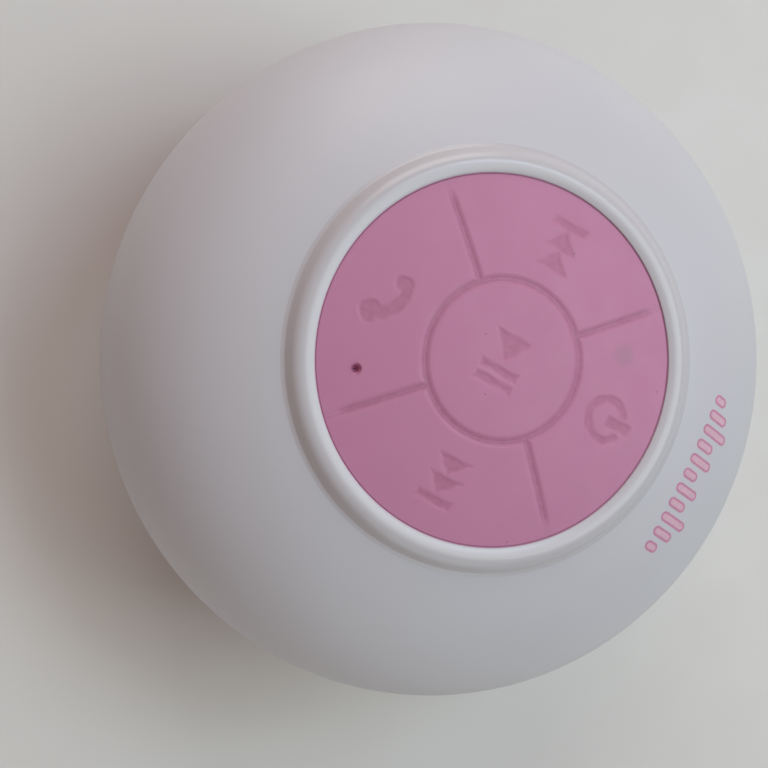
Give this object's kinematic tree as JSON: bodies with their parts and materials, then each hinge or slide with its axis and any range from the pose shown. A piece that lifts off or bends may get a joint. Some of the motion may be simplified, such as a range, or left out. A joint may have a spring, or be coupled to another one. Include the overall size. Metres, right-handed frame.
{
  "type": "shower speaker",
  "caption": "Round dome-shaped shower speaker with a soft pink five-key pad in a white housing and a suction cup on the back.",
  "frame": {"origin": "centre of the suction cup's flat rim, which is also the middle of the bottom of the bounding box", "axes": "+Z out of the keypad, away from the wall; +Y towards the power key; +X towards the next-track key"},
  "size_m": [0.086, 0.086, 0.0527],
  "materials": {
    "shell_white": "satin injection-moulded ABS, white",
    "bezel_gloss_white": "polished white ABS",
    "pink_silicone": "matte moulded silicone, dusty pink",
    "black_foam": "closed-cell foam and sealing rubber, dark grey",
    "black_plastic": "black moulded plastic",
    "circuit_board": "green solder mask on glass-fibre board",
    "bright_steel": "nickel-plated steel",
    "led_clear": "clear resin",
    "cream_plastic": "natural nylon",
    "cone_black": "black water-resistant film and rubber",
    "spider_cloth": "resin-stiffened woven cloth",
    "copper_wire": "enamelled copper winding",
    "ferrite": "grey sintered ferrite",
    "battery_foil": "satin laminated foil pouch",
    "lead_red": "red two-core lead in sleeve",
    "lead_black": "black two-core lead in sleeve"
  },
  "bodies": {
    "housing": {"amplifier_chip": "black_plastic", "battery_cell": "battery_foil", "battery_lead": "lead_red", "battery_pad": "black_foam", "battery_protection_board": "circuit_board", "battery_socket": "cream_plastic", "bezel_ring": "bezel_gloss_white", "bluetooth_module": "black_plastic", "board_screw_1": "bright_steel", "board_screw_2": "bright_steel", "board_screw_3": "bright_steel", "capacitor": "bright_steel", "case_screw_1": "bright_steel", "case_screw_2": "bright_steel", "case_screw_3": "bright_steel", "case_screw_4": "bright_steel", "charge_board": "circuit_board", "charge_lead": "lead_black", "charge_port_shell": "bright_steel", "charge_port_tongue": "black_plastic", "driver_basket": "bright_steel", "driver_gasket": "black_foam", "driver_magnet": "ferrite", "driver_spider": "spider_cloth", "driver_surround": "cone_black", "driver_top_plate": "bright_steel", "driver_yoke": "bright_steel", "front_shell": "shell_white", "indicator_led": "led_clear", "keypad_backing_plate": "black_plastic", "keypad_web": "pink_silicone", "main_board": "circuit_board", "microphone": "bright_steel", "microphone_gasket": "black_foam", "next_track_switch": "black_plastic", "phone_switch": "black_plastic", "play_pause_switch": "black_plastic", "power_switch": "black_plastic", "previous_track_switch": "black_plastic", "rear_shell": "shell_white", "shell_seal_ring": "black_foam", "speaker_lead": "lead_red", "speaker_socket": "cream_plastic", "suction_cup_screw": "bright_steel"},
    "play_pause_key": {"play_pause_key": "pink_silicone"},
    "power_key": {"power_key": "pink_silicone"},
    "next_track_key": {"next_track_key": "pink_silicone"},
    "previous_track_key": {"previous_track_key": "pink_silicone"},
    "phone_key": {"phone_key": "pink_silicone"},
    "play_pause_plunger": {"play_pause_plunger": "cream_plastic"},
    "power_plunger": {"power_plunger": "cream_plastic"},
    "next_track_plunger": {"next_track_plunger": "cream_plastic"},
    "previous_track_plunger": {"previous_track_plunger": "cream_plastic"},
    "phone_plunger": {"phone_plunger": "cream_plastic"},
    "driver_cone": {"driver_cone": "cone_black", "dust_cap": "cone_black", "voice_coil": "copper_wire"},
    "port_cover": {"port_cover": "pink_silicone"},
    "suction_cup": {"suction_cup": "pink_silicone"}
  },
  "joints": [
    {"name": "play_pause_press", "type": "slide", "parent": "housing", "child": "play_pause_key", "axis": [0, 0, -1], "range_m": [0, 0.0006], "stiffness_N_per_m": 2000},
    {"name": "power_press", "type": "slide", "parent": "housing", "child": "power_key", "axis": [0, 0, -1], "range_m": [0, 0.0006], "stiffness_N_per_m": 2000},
    {"name": "next_track_press", "type": "slide", "parent": "housing", "child": "next_track_key", "axis": [0, 0, -1], "range_m": [0, 0.0006], "stiffness_N_per_m": 2000},
    {"name": "previous_track_press", "type": "slide", "parent": "housing", "child": "previous_track_key", "axis": [0, 0, -1], "range_m": [0, 0.0006], "stiffness_N_per_m": 2000},
    {"name": "phone_press", "type": "slide", "parent": "housing", "child": "phone_key", "axis": [0, 0, -1], "range_m": [0, 0.0006], "stiffness_N_per_m": 2000},
    {"name": "play_pause_plunger_travel", "type": "slide", "parent": "housing", "child": "play_pause_plunger", "axis": [0, 0, -1], "range_m": [0, 0.0003]},
    {"name": "power_plunger_travel", "type": "slide", "parent": "housing", "child": "power_plunger", "axis": [0, 0, -1], "range_m": [0, 0.0003]},
    {"name": "next_track_plunger_travel", "type": "slide", "parent": "housing", "child": "next_track_plunger", "axis": [0, 0, -1], "range_m": [0, 0.0003]},
    {"name": "previous_track_plunger_travel", "type": "slide", "parent": "housing", "child": "previous_track_plunger", "axis": [0, 0, -1], "range_m": [0, 0.0003]},
    {"name": "phone_plunger_travel", "type": "slide", "parent": "housing", "child": "phone_plunger", "axis": [0, 0, -1], "range_m": [0, 0.0003]},
    {"name": "cone_excursion", "type": "slide", "parent": "housing", "child": "driver_cone", "axis": [0, 0, 1], "range_m": [-0.0012, 0.0012], "stiffness_N_per_m": 1500, "deforming": ["driver_surround", "driver_spider"]},
    {"name": "port_cover_swing", "type": "hinge", "parent": "housing", "child": "port_cover", "pos_m": [0.0086, -0.0406, 0.0175], "axis": [0, 0, 1], "range_deg": [0, 100]},
    {"name": "suction_press", "type": "slide", "parent": "housing", "child": "suction_cup", "axis": [0, 0, 1], "range_m": [0, 0.003], "stiffness_N_per_m": 6000, "deforming": ["suction_cup"]}
  ],
  "couplings": [
    {"joint": "play_pause_plunger_travel", "follows": "play_pause_press", "ratio": 0.5},
    {"joint": "power_plunger_travel", "follows": "power_press", "ratio": 0.5},
    {"joint": "next_track_plunger_travel", "follows": "next_track_press", "ratio": 0.5},
    {"joint": "previous_track_plunger_travel", "follows": "previous_track_press", "ratio": 0.5},
    {"joint": "phone_plunger_travel", "follows": "phone_press", "ratio": 0.5}
  ]
}
